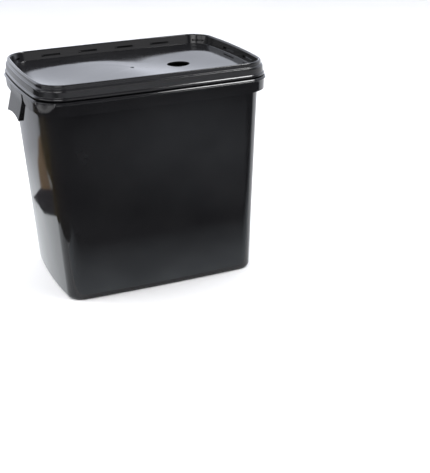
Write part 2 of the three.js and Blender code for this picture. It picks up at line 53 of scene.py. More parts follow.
# ---- Driving sizes, which repeat the model's own ------------------------------------------------
HEIGHT = LID_HIGH.z
PAIL_TOP = PAIL_HIGH.z
RIM = (191.7 * MM, 142.3 * MM, 40.8 * MM)  # half length, half width, corner radius of the lid's edge
BASE = (170.3 * MM, 120.0 * MM, 26.0 * MM)  # the same of the wall at the ground
SIDE_BOW = (8.3 * MM, 3.3 * MM)  # how far corners are set back from the middle of an end and of a long side
SHOULDER = 5.3 * MM  # how far the wall's top is inside the lid's edge
WALL_TOP = HEIGHT - 38 * MM
WALL = 2.2 * MM
COLLAR_TOP = HEIGHT - 25.8 * MM
COLLAR_BOTTOM = COLLAR_TOP - 4.8 * MM
SKIRT_BOTTOM = COLLAR_TOP - 22.2 * MM
PANEL_Z = HEIGHT - 16.6 * MM
LEDGE_Z = COLLAR_TOP - 4.2 * MM
OUTLET = Vector((0, 0, 62 * MM))
PORT = 22.3 * MM  # radius of the hole through the wall, the gaskets and the lock nut
CORNER_STEPS = 12
SIDE_STEPS = 9
ROUND = 64

# ---- Camera -------------------------------------------------------------------------------------
CAMERA = {"azimuth": -22.38, "elevation": 22.27, "roll": -1.56, "distance": 1.8675, "lens": 76.87}
CAMERA_TARGET = Vector((0.1417, 0.0, 0.0192))


def make_camera():
    azimuth, elevation, roll = (math.radians(CAMERA[k]) for k in ("azimuth", "elevation", "roll"))
    level = math.cos(elevation)
    back = Vector((math.sin(azimuth) * level, -math.cos(azimuth) * level, math.sin(elevation)))
    right = Vector((math.cos(azimuth), math.sin(azimuth), 0))
    up = back.cross(right)
    rolled_right = right * math.cos(roll) + up * math.sin(roll)
    rolled_up = up * math.cos(roll) - right * math.sin(roll)
    data = bpy.data.cameras.new("camera")
    data.lens = CAMERA["lens"]
    data.sensor_width = 36
    data.clip_end = 50
    camera = bpy.data.objects.new("camera", data)
    bpy.context.scene.collection.objects.link(camera)
    turn = Matrix((rolled_right, rolled_up, back)).transposed().to_4x4()
    camera.matrix_world = Matrix.Translation(CAMERA_TARGET + back * CAMERA["distance"]) @ turn
    bpy.context.scene.camera = camera


# ---- Materials ----------------------------------------------------------------------------------
class Nodes:
    """The node tree of a material or of the world, with short calls to add and join nodes."""

    def __init__(self, owner, shader="Principled BSDF"):
        owner.use_nodes = True
        self.owner = owner
        self.tree = owner.node_tree
        self.shader = self.tree.nodes[shader]

    def add(self, kind, inputs=(), **settings):
        node = self.tree.nodes.new(kind)
        for key, value in settings.items():
            setattr(node, key, value)
        for key, value in dict(inputs).items():
            if isinstance(value, bpy.types.NodeSocket):
                self.tree.links.new(value, node.inputs[key])
            else:
                node.inputs[key].default_value = value
        return node

    def to_shader(self, socket, output):
        self.tree.links.new(output, self.shader.inputs[socket])

    def place(self):
        """Where a point is on its object, in metres."""
        return self.add("ShaderNodeTexCoord").outputs["Object"]

    def noise(self, scale, detail=3.0, roughness=0.5, vector=None):
        inputs = {"Scale": scale, "Detail": detail, "Roughness": roughness, "Vector": vector or self.place()}
        return self.add("ShaderNodeTexNoise", inputs).outputs["Fac"]

    def spread(self, fac, low, high, start=0.3, end=0.7):
        """A value that goes from low to high as fac goes from start to end."""
        inputs = {"Value": fac, "From Min": start, "From Max": end, "To Min": low, "To Max": high}
        return self.add("ShaderNodeMapRange", inputs).outputs["Result"]

    def calculate(self, operation, *values):
        return self.add("ShaderNodeMath", dict(enumerate(values)), operation=operation).outputs[0]

    def distance(self, place):
        inputs = {0: self.place(), 1: place}
        return self.add("ShaderNodeVectorMath", inputs, operation="DISTANCE").outputs["Value"]

    def colours(self, fac, dark, light, start=0.3, end=0.7):
        """A colour that goes from dark to light as fac goes from start to end."""
        node = self.add("ShaderNodeValToRGB", {"Fac": fac})
        first, second = node.color_ramp.elements
        first.position, second.position = start, end
        first.color, second.color = (*dark, 1), (*light, 1)
        return node.outputs["Color"]

    def bump(self, height, distance, under=None):
        inputs = {"Height": height, "Distance": distance, "Strength": 1.0}
        if under is not None:
            inputs["Normal"] = under
        return self.add("ShaderNodeBump", inputs).outputs["Normal"]


def moulded_plastic(name, dark, light, roughness, orange_peel, ripple, ior=1.45):
    """Injection-moulded plastic: faint flow mottling, uneven gloss, orange peel and fine handling marks."""
    n = Nodes(bpy.data.materials.new(name))
    n.shader.inputs["IOR"].default_value = ior
    flow = n.noise(scale=14, detail=4, roughness=0.6)
    n.to_shader("Base Color", n.colours(flow, dark, light))
    stretched = n.add("ShaderNodeMapping", {"Vector": n.place(), "Scale": (1, 1, 0.12)}).outputs["Vector"]
    marks = n.noise(scale=420, detail=2, roughness=0.4, vector=stretched)
    gloss = n.spread(n.noise(scale=26, detail=5, roughness=0.65), *roughness)
    worn = n.spread(marks, 0.0, 0.05, start=0.62, end=0.8)
    n.to_shader("Roughness", n.calculate("ADD", gloss, worn))
    waves = n.bump(n.noise(scale=9, detail=1, roughness=0.4), ripple)
    n.to_shader("Normal", n.bump(n.noise(scale=900, detail=2), orange_peel, under=waves))
    return n.owner


def moulded_rubber():
    n = Nodes(bpy.data.materials.new("black_rubber"))
    n.shader.inputs["IOR"].default_value = 1.5
    n.to_shader("Base Color", n.colours(n.noise(60, 4), (0.012, 0.012, 0.012), (0.024, 0.023, 0.022)))
    n.to_shader("Roughness", n.spread(n.noise(90, 3), 0.62, 0.85))
    n.to_shader("Normal", n.bump(n.noise(1500, 3), 0.00008))
    return n.owner


def open_foam(name, dark, light, pores_per_metre):
    """Reticulated filter foam: a cell network with painted shade in its pores and struts painted lighter as
    if lit.
    """
    n = Nodes(bpy.data.materials.new(name))
    n.shader.inputs["Specular IOR Level"].default_value = 0.15
    inputs = {"Scale": pores_per_metre, "Vector": n.place()}
    cells = n.add("ShaderNodeTexVoronoi", inputs, feature="DISTANCE_TO_EDGE").outputs["Distance"]
    struts = n.spread(cells, 1.0, 0.0, start=0.02, end=0.22)
    # Painted shade: the pores are darkened as shade inside the cells and the struts lightened as if lit; the
    # noise adds uneven tone.
    pore_shade_and_mottling = n.calculate("MULTIPLY", struts, n.noise(scale=30, detail=4, roughness=0.6))
    n.to_shader("Base Color", n.colours(pore_shade_and_mottling, dark, light, start=0.05, end=0.6))
    n.to_shader("Roughness", n.spread(struts, 0.98, 0.8, start=0, end=1))
    n.to_shader("Normal", n.bump(struts, 0.35 / pores_per_metre))
    return n.owner


def floor_finish():
    n = Nodes(bpy.data.materials.new("floor_finish"))
    n.to_shader("Base Color", n.colours(n.noise(3, 2), (0.80, 0.80, 0.80), (0.83, 0.83, 0.83)))
    n.to_shader("Roughness", n.spread(n.noise(40, 3), 0.7, 0.85))
    n.shader.inputs["Specular IOR Level"].default_value = 0.2
    return n.owner


MATERIALS = {
    "gloss_black_pp": moulded_plastic(
        "gloss_black_pp", dark=(0.0070, 0.0070, 0.0078), light=(0.0105, 0.0105, 0.0112),
        roughness=(0.06, 0.11), orange_peel=0.000004, ripple=0.0009, ior=1.42),
    "satin_black_plastic": moulded_plastic(
        "satin_black_plastic", dark=(0.010, 0.010, 0.011), light=(0.017, 0.017, 0.018),
        roughness=(0.34, 0.46), orange_peel=0.00004, ripple=0.0002),
    "bio_ball_plastic": moulded_plastic(
        "bio_ball_plastic", dark=(0.012, 0.013, 0.015), light=(0.022, 0.023, 0.025),
        roughness=(0.3, 0.42), orange_peel=0.00003, ripple=0.0002),
    "black_rubber": moulded_rubber(),
    "foam_coarse": open_foam("foam_coarse", (0.003, 0.012, 0.035), (0.03, 0.11, 0.28), 320),
    "foam_medium": open_foam("foam_medium", (0.006, 0.02, 0.010), (0.07, 0.19, 0.10), 620),
    "foam_fine": open_foam("foam_fine", (0.008, 0.009, 0.010), (0.06, 0.065, 0.07), 1100),
}


# ---- Mesh helpers -------------------------------------------------------------------------------
def section_mix(a, b, t):
    return tuple(p + (q - p) * t for p, q in zip(a, b))


def rim(out, z):
    """A cross-section of the lid's edge outline grown by out: half length, half width, radius, height."""
    return (RIM[0] + out, RIM[1] + out, RIM[2] + out, z)


def wall(z, out=0.0, at=None):
    """A cross-section of the tapered wall's outer face at height z, grown by out, drawn at height at."""
    t = z / WALL_TOP
    sizes = (low + (high - SHOULDER - low) * t + out for low, high in zip(BASE, RIM))
    return (*sizes, z if at is None else at)


def bowed(x, y, half_x, half_y, z):
    """A point of an outline, moved in towards its corners so that the sides bow out."""
    u, v = x / half_x, y / half_y
    x -= math.copysign(SIDE_BOW[0] * v ** 2 * u ** 4, x)
    y -= math.copysign(SIDE_BOW[1] * u ** 2 * v ** 4, y)
    return Vector((x, y, z))


def outline(section):
    """The points of a rounded rectangle with bowed sides, anticlockwise from above."""
    half_x, half_y, radius, z = section
    signs = ((1, 1), (-1, 1), (-1, -1), (1, -1))

    def corner(k, angle):
        x = signs[k % 4][0] * (half_x - radius) + radius * math.cos(angle)
        y = signs[k % 4][1] * (half_y - radius) + radius * math.sin(angle)
        return Vector((x, y))

    flat = []
    for k in range(4):
        for step in range(CORNER_STEPS + 1):
            flat.append(corner(k, (k + step / CORNER_STEPS) * math.pi / 2))
        start, end = corner(k, (k + 1) * math.pi / 2), corner(k + 1, (k + 1) * math.pi / 2)
        flat += [start.lerp(end, step / (SIDE_STEPS + 1)) for step in range(1, SIDE_STEPS + 1)]
    return [bowed(p.x, p.y, half_x, half_y, z) for p in flat]


def shrunk(section, scale):
    """The outline of a cross-section scaled about its middle, at the same height."""
    return outline((*(size * scale for size in section[:3]), section[3]))


def circle(x, y, radius, z, steps):
    """The points of a level circle, anticlockwise from above."""
    angles = (2 * math.pi * i / steps for i in range(steps))
    return [Vector((x + radius * math.cos(a), y + radius * math.sin(a), z)) for a in angles]


def rim_corner(out, angle, z):
    """The place on the rim's outline, grown by out, at an angle round the corner at +X and +Y."""
    reach = RIM[2] + out
    x = RIM[0] - RIM[2] + reach * math.cos(angle)
    y = RIM[1] - RIM[2] + reach * math.sin(angle)
    return bowed(x, y, RIM[0] + out, RIM[1] + out, z)


def rounded(points, radius=0.5 * MM, steps=3, looped=False):
    """A profile with each inner corner replaced by a small curve. Its points are tuples or vectors."""
    made = []
    last = len(points) - 1
    for i, corner in enumerate(points):
        if not looped and i in (0, last):
            made.append(tuple(corner))
            continue
        before, after = points[i - 1], points[(i + 1) % len(points)]
        reach = []
        for other in (before, after):
            length = math.dist(corner, other)
            reach.append(section_mix(corner, other, min(radius / length, 0.45)))
        for step in range(steps + 1):
            t = step / steps
            first, second = section_mix(reach[0], corner, t), section_mix(corner, reach[1], t)
            made.append(section_mix(first, second, t))
    return made


def loft(rings, looped=False):
    """A closed skin through rings of points. A ring of one point closes an end; other ends get a flat cap."""
    bm = bmesh.new()
    rows = [[bm.verts.new(p) for p in ring] for ring in rings]
    count = max(len(row) for row in rows)
    pairs = list(zip(rows, rows[1:])) + ([(rows[-1], rows[0])] if looped else [])
    for low, high in pairs:
        for i in range(count):
            j = (i + 1) % count
            corners = [low[i % len(low)], low[j % len(low)], high[j % len(high)], high[i % len(high)]]
            bm.faces.new(list(dict.fromkeys(corners)))
    if not looped:
        if len(rows[0]) > 1:
            bm.faces.new(reversed(rows[0]))
        if len(rows[-1]) > 1:
            bm.faces.new(rows[-1])
    return bm


def turned(profile, looped=False, steps=ROUND):
    """A round piece on the outlet's axis, from (radius, y) points."""
    rings = []
    for radius, y in profile:
        if radius == 0:
            rings.append([Vector((0, y, OUTLET.z))])
            continue
        angles = (-2 * math.pi * i / steps for i in range(steps))
        rings.append([Vector((radius * math.cos(a), y, OUTLET.z + radius * math.sin(a))) for a in angles])
    return loft(rings, looped)


def plug(radius, start, end, steps=ROUND):
    """A plain cylinder or prism on the outlet's axis, between two places along it."""
    return turned([(0, start), (radius, start), (radius, end), (0, end)], steps=steps)


def around_outlet(part, angle, y, out):
    """Moves a part out from the outlet's axis, turns it about that axis and slides it along to y."""
    place = Matrix.Translation((0, y, OUTLET.z)) @ Matrix.Rotation(angle, 4, "Y")
    bmesh.ops.transform(part, matrix=place @ Matrix.Translation((0, 0, out)), verts=part.verts)
    return part


def block(size, centre, bevel=0.0, turn=0.0, tilt=0.0):
    """A box, tilted about X and then turned about Z. Its edges are bevelled if a bevel is given."""
    bm = bmesh.new()
    bmesh.ops.create_cube(bm, size=1)
    bmesh.ops.scale(bm, vec=size, verts=bm.verts)
    if bevel:
        bmesh.ops.bevel(bm, geom=bm.edges[:], offset=bevel, segments=2, affect="EDGES", profile=0.5)
    place = Matrix.Translation(centre) @ Matrix.Rotation(turn, 4, "Z") @ Matrix.Rotation(tilt, 4, "X")
    bmesh.ops.transform(bm, matrix=place, verts=bm.verts)
    return bm


def drum(radius, height, centre, sides=24):
    """An upright cylinder."""
    bm = bmesh.new()
    bmesh.ops.create_cone(bm, cap_ends=True, segments=sides, radius1=radius, radius2=radius, depth=height)
    bmesh.ops.translate(bm, vec=centre, verts=bm.verts)
    return bm


def gathered(parts):
    """Several meshes that don't touch, as one mesh."""
    whole = bmesh.new()
    for part in parts:
        mesh = bpy.data.meshes.new("part")
        part.to_mesh(mesh)
        part.free()
        whole.from_mesh(mesh)
        bpy.data.meshes.remove(mesh)
    return whole


def to_object(name, bm):
    bmesh.ops.recalc_face_normals(bm, faces=bm.faces)
    mesh = bpy.data.meshes.new(name)
    bm.to_mesh(mesh)
    bm.free()
    thing = bpy.data.objects.new(name, mesh)
    bpy.context.scene.collection.objects.link(thing)
    return thing


def settle(thing):
    """Turns an object's modifiers into its mesh."""
    bpy.context.view_layer.update()
    evaluated = thing.evaluated_get(bpy.context.evaluated_depsgraph_get())
    mesh = bpy.data.meshes.new_from_object(evaluated)
    thing.modifiers.clear()
    old, thing.data = thing.data, mesh
    bpy.data.meshes.remove(old)


def combine(thing, parts, operation):
    """Joins parts to an object, cuts them from it or keeps what it shares with them, one after another."""
    for part in parts:
        other = to_object("part", part)
        modifier = thing.modifiers.new("combine", "BOOLEAN")
        modifier.operation = operation
        modifier.solver = "MANIFOLD"
        modifier.object = other
        settle(thing)
        mesh = other.data
        bpy.data.objects.remove(other)
        bpy.data.meshes.remove(mesh)


def finish_piece(thing, material_slot, body, nodes, angle=32.0):
    """Shades a piece smooth between its sharp edges, paints it, and hangs it on its body."""
    mesh = thing.data
    mesh.polygons.foreach_set("use_smooth", [True] * len(mesh.polygons))
    mesh.set_sharp_from_angle(angle=math.radians(angle))
    weighted = thing.modifiers.new("weighted", "WEIGHTED_NORMAL")
    weighted.keep_sharp = True
    settle(thing)
    thing.data.name = thing.name
    thing.data.materials.clear()
    thing.data.materials.append(MATERIALS[material_slot])
    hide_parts(*nodes)
    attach(thing, body)


# ---- Pail ---------------------------------------------------------------------------------------
# The grips, in mm: half the width, the shift along the wall, the top, the tips at both ends and the arch
# between them. The outer face leans out below the root. The end walls are deeper at the tip than at the top.
GRIP = {
    "half": 40, "shift": 5, "top": 337, "tip": 294.5, "arch": 4, "face": 197.6, "flare": 8.8, "root": 326,
    "wall": 2.4, "end": 9, "end_taper": 3, "edge": 0.45,
}
# The half-moon tabs: out and root are measured from the lid's edge, and the angle is round the corner.
PRY_TAB = {
    "half_width": 21 * MM, "height": 14.6 * MM, "root": 3 * MM, "out": 8.2 * MM, "lean": -3.2 * MM,
    "angle": 38,
}
# The ribs inside the skirt, in mm: their places along the long sides and the ends, and their sizes.
COLLAR_RIBS = {
    "long": (-120, -60, 60, 120), "short": (-75, 75),
    "height": 13, "depth": 8, "thickness": 1.6, "inset": 1.2,
}
BOSS = {"radius": 38 * MM, "inner": 118.4 * MM, "outer": 126 * MM}


def pail_shell():
    """The pail's skin, from the middle of its underside round the collar to the middle of its floor."""
    profile = [
        wall(0, -4 * MM), wall(0, -1.2 * MM, 1.2 * MM), wall(5 * MM), wall(WALL_TOP),
        wall(WALL_TOP, 0, COLLAR_BOTTOM - 1.6 * MM),
        rim(3.6 * MM, COLLAR_BOTTOM - 1.6 * MM), rim(3.0 * MM, SKIRT_BOTTOM), rim(4.8 * MM, SKIRT_BOTTOM),
        rim(5.6 * MM, COLLAR_BOTTOM), rim(7.5 * MM, COLLAR_BOTTOM + 0.4 * MM),
        rim(7.5 * MM, COLLAR_BOTTOM + 1.7 * MM), rim(6.3 * MM, COLLAR_BOTTOM + 2.4 * MM),
        rim(7.2 * MM, COLLAR_TOP - 1.6 * MM), rim(5.7 * MM, COLLAR_TOP),
        rim(-1.6 * MM, COLLAR_TOP), rim(-1.6 * MM, PAIL_TOP), rim(-2.8 * MM, PAIL_TOP),
        rim(-3.6 * MM, LEDGE_Z + 14 * MM), rim(-3.6 * MM, LEDGE_Z),
        wall(WALL_TOP, -WALL, LEDGE_Z), wall(WALL_TOP, -WALL), wall(6 * MM, -WALL),
        wall(2 * MM, -WALL - 3.5 * MM, WALL),
    ]
    smooth = rounded(profile, 0.8 * MM)
    rings = [[Vector((0, 0, 0))]] + [outline(section) for section in smooth] + [[Vector((0, 0, WALL))]]
    return loft(rings)


def grip(side):
    """A flared plate with an arched lower edge and a deeper wall at each end, open below and behind."""
    g = GRIP
    half, inner = g["half"], g["half"] - g["wall"]
    steps, levels = 14, 10

    def along(start, end, place):
        return [(start + (end - start) * i / steps, place) for i in range(steps + 1)]

    across = along(-half, half, "face") + [(half, "end"), (inner, "end")]
    across += along(inner, -inner, "inside") + [(-inner, "end"), (-half, "end")]
    rings = []
    for level in range(levels + 1):
        share = level / levels
        depths = {"face": 0.0, "inside": g["wall"], "end": g["end"] - g["end_taper"] * share}
        ring = []
        for y, place in across:
            low = g["tip"] + g["arch"] * (1 - (y / half) ** 2)
            z = low + (g["top"] - low) * share
            x = g["face"] + g["flare"] * max(0, g["root"] - z) / (g["root"] - g["tip"])
            ring.append(Vector((-(x - depths[place]), g["shift"] - y, z)) * MM)
        rings.append(ring)
    bm = loft(rings)
    sharp = [e for e in bm.edges if len(e.link_faces) == 2 and e.calc_face_angle(0) > math.radians(50)]
    bmesh.ops.bevel(bm, geom=sharp, offset=g["edge"] * MM, segments=2, affect="EDGES", profile=0.5)
    if side > 0:
        bmesh.ops.rotate(bm, matrix=Matrix.Rotation(math.pi, 3, "Z"), verts=bm.verts)
    return bm


def half_moon(turn):
    """The lipped half-moon tab under the lid's edge, which follows the collar's corner."""
    t = PRY_TAB
    arc, top_edge = 28, 10
    border = [(math.cos(math.pi * i / arc), math.sin(math.pi * i / arc)) for i in range(arc + 1)]
    border += [(-1 + 2 * i / top_edge, 0.0) for i in range(1, top_edge)]
    middle = (0.0, 0.42)
    middle_angle = math.radians(t["angle"])

    def ring(scale, out):
        points = []
        for across, down in border:
            u = middle[0] + (across - middle[0]) * scale
            v = middle[1] + (down - middle[1]) * scale
            angle = middle_angle + u * t["half_width"] / (RIM[2] + t["out"])
            lean = t["lean"] * v if out > t["root"] else 0
            points.append(rim_corner(out - lean, angle, COLLAR_TOP - v * t["height"]))
        return points

    lip, dish = t["out"], t["out"] - 0.9 * MM
    rings = [ring(1.0, t["root"]), ring(1.0, lip - 0.3 * MM), ring(0.97, lip), ring(0.90, lip),
             ring(0.86, dish), ring(0.6, dish - 0.2 * MM), ring(0.3, dish - 0.3 * MM)]
    bm = loft(rings)
    bmesh.ops.rotate(bm, matrix=Matrix.Rotation(turn, 3, "Z"), verts=bm.verts)
    return bm


def collar_ribs():
    """The upright ribs between the wall and the collar's skirt."""
    height, depth, thickness, inset = (COLLAR_RIBS[k] * MM for k in ("height", "depth", "thickness", "inset"))
    z = COLLAR_BOTTOM - height / 2
    ribs = []
    for side in (-1, 1):
        for x in COLLAR_RIBS["long"]:
            bow = SIDE_BOW[1] * (x * MM / RIM[0]) ** 2
            ribs.append(block((thickness, depth, height), (x * MM, side * (RIM[1] - bow - inset), z)))
        for y in COLLAR_RIBS["short"]:
            bow = SIDE_BOW[0] * (y * MM / RIM[1]) ** 2
            ribs.append(block((depth, thickness, height), (side * (RIM[0] - bow - inset), y * MM, z)))
    return gathered(ribs)


def make_pail():
    """The pail with its collar, grips and tabs, and a boss bored for the outlet."""
    pail = to_object("pail_shell", pail_shell())
    radius, inner, outer = BOSS["radius"], BOSS["inner"], BOSS["outer"]
    boss = turned(rounded([(0, inner), (radius, inner), (radius, outer), (0, outer)], 1 * MM))
    joins = [grip(-1), grip(1), half_moon(math.pi), half_moon(0), collar_ribs(), boss]
    combine(pail, joins, "UNION")
    combine(pail, [plug(PORT, 0.1, 0.14)], "DIFFERENCE")
    finish_piece(pail, "gloss_black_pp", "pail", ["bucket"])


# ---- Lid ----------------------------------------------------------------------------------------
FEED_HOLE = (85.2 * MM, 6.8 * MM, 19.4 * MM)  # x, y and radius
# The slots through the rim's inner wall, in mm, with a small mark at one end of each slot of a long side.
SLOTS = {
    "length": 31, "height": 3.4, "below_top": 10.6, "pitch": 67.2, "first": -102.6, "count": 4, "cut": 5.2,
    "ends": (21, -61), "end_length": 42, "corner_length": 24, "mark": (2, 4.8, 4.8), "mark_gap": 1.4,
}
PANEL_SAG = (2.6 * MM, 3.7 * MM)  # how far the moulded panel sags, evenly and in a wave along its length
PANEL_INSET = 9 * MM
WAVE_CREST = -40 * MM
WAVE_LENGTH = 240 * MM


def panel_warp(x, y):
    """The panel's height over its moulded plane: it sags on both sides of a crest, and meets the rim flat."""
    u, v = x / (RIM[0] - PANEL_INSET), y / (RIM[1] - PANEL_INSET)
    wave = PANEL_SAG[1] * math.cos(2 * math.pi * (x - WAVE_CREST) / WAVE_LENGTH) - PANEL_SAG[0]
    return wave * max(0.0, 1 - u ** 8) * max(0.0, 1 - v * v)


def lid_shell():
    """The lid's skin, from the middle of the panel's underside round the rim to the middle of its top."""
    panel = 2 * MM
    foot = -7 * MM
    edge = HEIGHT - 23.8 * MM
    roof = HEIGHT - 2.1 * MM
    profile = [
        rim(foot - 0.6 * MM, PANEL_Z - panel), rim(foot + 1.2 * MM, PANEL_Z - 0.4 * MM),
        rim(-3.2 * MM, HEIGHT - 7 * MM), rim(-3.2 * MM, roof), rim(-1.2 * MM, roof),
        rim(-1.2 * MM, HEIGHT - 7.4 * MM), rim(1.4 * MM, HEIGHT - 10.6 * MM), rim(2.2 * MM, edge + 3.8 * MM),
        rim(3.7 * MM, edge + 2.2 * MM), rim(3.7 * MM, edge), rim(5.2 * MM, edge),
        rim(5.7 * MM, edge + 1.4 * MM), rim(5.1 * MM, edge + 3.4 * MM), rim(3.6 * MM, edge + 4.8 * MM),
        rim(3.1 * MM, HEIGHT - 10.6 * MM),
        rim(2.6 * MM, HEIGHT - 8.4 * MM), rim(0.3 * MM, HEIGHT - 6.6 * MM), rim(0, HEIGHT - 2 * MM),
        rim(-0.7 * MM, HEIGHT - 0.6 * MM), rim(-2.2 * MM, HEIGHT), rim(-3.7 * MM, HEIGHT - 0.6 * MM),
        rim(-4.4 * MM, HEIGHT - 2 * MM), rim(foot, PANEL_Z + 0.3 * MM), rim(foot - 0.4 * MM, PANEL_Z),
    ]
    smooth = rounded(profile, 0.7 * MM)
    rings = [outline(section) for section in smooth]
    scales = [0.985, 0.96, 0.92, 0.86, 0.78, 0.68, 0.56, 0.43, 0.3, 0.16, 0.05]  # closer near the rim
    top = [shrunk(smooth[-1], s) for s in scales]
    bottom = [shrunk(smooth[0], s) for s in reversed(scales)]
    for ring in (*top, *bottom):
        for p in ring:
            p.z += panel_warp(p.x, p.y)
    middle = panel_warp(0, 0)
    first, last = Vector((0, 0, PANEL_Z - panel + middle)), Vector((0, 0, PANEL_Z + middle))
    return loft([[first], *bottom, *rings, *top, [last]])


def lid_slots(turn):
    """Cutters for the slots along one long side, one end and its two corners, and the marks beside them."""
    s = SLOTS
    inner = -5.4 * MM
    z = HEIGHT - s["below_top"] * MM
    cut, height = s["cut"] * MM, s["height"] * MM
    cutters, marks = [], []
    for i in range(s["count"]):
        x = (s["first"] + i * s["pitch"]) * MM
        y = RIM[1] + inner - SIDE_BOW[1] * (x / RIM[0]) ** 2
        cutters.append(block((s["length"] * MM, cut, height), (x, y, z)))
        place = (x - (s["length"] / 2 + s["mark_gap"]) * MM, y + 0.4 * MM, z)
        marks.append(block(Vector(s["mark"]) * MM, place, 0.3 * MM, 0.1, 0.7))
    for y in s["ends"]:
        x = RIM[0] + inner - SIDE_BOW[0] * (y * MM / RIM[1]) ** 2
        cutters.append(block((cut, s["end_length"] * MM, height), (x, y * MM, z)))
    for mirror in (1, -1):
        angle = math.pi / 4
        p = rim_corner(inner, angle, z)
        size = (cut, s["corner_length"] * MM, height)
        cutters.append(block(size, (p.x, mirror * p.y, z), 0.0, mirror * angle))
    made = gathered(cutters), gathered(marks)
    for bm in made:
        bmesh.ops.rotate(bm, matrix=Matrix.Rotation(turn, 3, "Z"), verts=bm.verts)
    return made


def make_lid():
    """The lid, with a raised lip round its feed hole and the moulding gate's mark in the middle."""
    lid = to_object("lid_shell", lid_shell())
    x, y, radius = FEED_HOLE
    hole_z = PANEL_Z + panel_warp(x, y)
    inner, low, high = radius - 0.4 * MM, hole_z - 1.9 * MM, hole_z + 0.35 * MM
    corners = [(inner, low), (radius + 1.6 * MM, low), (radius + 1.3 * MM, high), (inner, high)]
    lip = loft([circle(x, y, r, z, 72) for r, z in rounded(corners, 0.3 * MM)])
    gate = drum(3 * MM, 1.4 * MM, (0, 0, PANEL_Z + panel_warp(0, 0)))
    cut_a, marks_a = lid_slots(0)
    cut_b, marks_b = lid_slots(math.pi)
    combine(lid, [lip, gate, marks_a, marks_b], "UNION")
    hole = drum(radius, 20 * MM, (x, y, PANEL_Z), 72)
    combine(lid, [hole, cut_a, cut_b], "DIFFERENCE")
    finish_piece(lid, "gloss_black_pp", "lid", ["lid"])


def make_lid_seal():
    low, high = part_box("lid_seal")
    inner, outer = -2.7 * MM, -1.7 * MM
    corners = [rim(inner, low.z), rim(outer, low.z), rim(outer, high.z), rim(inner, high.z)]
    profile = rounded(corners, 0.35 * MM, 2, looped=True)
    seal = to_object("lid_seal_strip", loft([outline(s) for s in profile], looped=True))
    finish_piece(seal, "black_rubber", "lid", ["lid_seal"])


# ---- What the water passes through --------------------------------------------------------------
MEDIA_GAP = 3 * MM  # between the pail's inside and the mats and grids


def pattern(columns, rows, pitch_x, pitch_y, make):
    """What make gives at each place of a grid, except at the grid's four corners."""
    made = []
    for i in range(columns):
        for j in range(rows):
            if i in (0, columns - 1) and j in (0, rows - 1):
                continue
            made.append(make((i - (columns - 1) / 2) * pitch_x, (j - (rows - 1) / 2) * pitch_y))
    return made


def make_spray_tray():
    low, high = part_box("spray_tray")
    under = high.z - 1.8 * MM
    floor_top = low.z + 2 * MM
    inside = -13.1 * MM
    profile = rounded([
        rim(inside - 2 * MM, low.z), rim(inside, under), rim(-4.1 * MM, under), rim(-4.1 * MM, high.z),
        rim(inside - 2 * MM, high.z), rim(inside - 4 * MM, floor_top)], 0.9 * MM)
    rings = [[Vector((0, 0, low.z))]] + [outline(s) for s in profile] + [[Vector((0, 0, floor_top))]]
    tray = to_object("spray_tray_fine", loft(rings))
    places = (9, 6, 36 * MM, 36 * MM)
    collars = pattern(*places, lambda x, y: drum(5.6 * MM, 2.6 * MM, (x, y, floor_top), 20))
    bar = (1.6 * MM, 250 * MM, 3 * MM)
    bars = [block(bar, (x * MM, 0, floor_top + 0.5 * MM), 0.3 * MM) for x in (-126, -54, 18, 90)]
    combine(tray, [gathered(collars), gathered(bars)], "UNION")
    holes = pattern(*places, lambda x, y: drum(4 * MM, 12 * MM, (x, y, low.z + 1 * MM), 20))
    combine(tray, [gathered(holes)], "DIFFERENCE")
    finish_piece(tray, "satin_black_plastic", "pail", ["spray_tray"])


def make_foam(node, cell, depth, seed):
    """A sawn foam mat: flat faces, square edges that have softened, and a surface broken up by its pores."""
    low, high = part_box(node)
    inset = WALL + MEDIA_GAP
    layers = [(low.z, -2.5), (low.z + 0.4 * MM, -1.0), (low.z + 2 * MM, 0), (low.z + 9 * MM, 0.3),
              (high.z - 9 * MM, 0.3), (high.z - 2 * MM, 0), (high.z - 0.4 * MM, -1.0), (high.z, -2.5)]
    sections = [wall(z, -inset + (out - 0.6) * MM) for z, out in layers]
    scales = [0.98, 0.95, 0.91, 0.86, 0.8, 0.73, 0.65, 0.56, 0.46, 0.35, 0.23, 0.1]
    rings = [[Vector((0, 0, low.z))], *(shrunk(sections[0], s) for s in reversed(scales))]
    rings += [outline(s) for s in sections]
    rings += [*(shrunk(sections[-1], s) for s in scales), [Vector((0, 0, high.z))]]
    bm = loft(rings)
    bmesh.ops.subdivide_edges(bm, edges=bm.edges[:], cuts=1, use_grid_fill=True)
    bm.normal_update()
    for v in bm.verts:
        dent = noise.noise(v.co / cell + Vector((seed, 0, 0))) + 0.6 * noise.noise(v.co / (cell * 4))
        v.co -= v.normal * depth * (0.6 + 0.5 * dent)
    mat = to_object(node + "_mat", bm)
    finish_piece(mat, node, "pail", [node], 80)


def grid_plate(node, ribbed_below):
    """A plate full of slits, with or without ribs under it, and the height of its underside."""
    _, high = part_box(node)
    bottom = high.z - 3 * MM
    inset = WALL + MEDIA_GAP
    profile = rounded([wall(bottom, -inset), wall(high.z, -inset)], 0.5 * MM)
    rings = [[Vector((0, 0, bottom))], *(outline(s) for s in profile), [Vector((0, 0, high.z))]]
    plate = to_object(node + "_fine", loft(rings))
    if ribbed_below:
        bar = (2 * MM, 236 * MM, 6 * MM)
        bars = [block(bar, (x * MM, 0, bottom - 1.5 * MM), 0.4 * MM) for x in (-111, -37, 37, 111)]
        combine(plate, [gathered(bars)], "UNION")

    def opening(x, y):
        slit = (5.2 * MM, 34 * MM, 7 * MM)
        return gathered([block(slit, (x + d * MM, y, bottom + 3 * MM)) for d in (-11, -3.7, 3.7, 11)])

    combine(plate, [gathered(pattern(8, 5, 37 * MM, 41 * MM, opening))], "DIFFERENCE")
    return plate, bottom


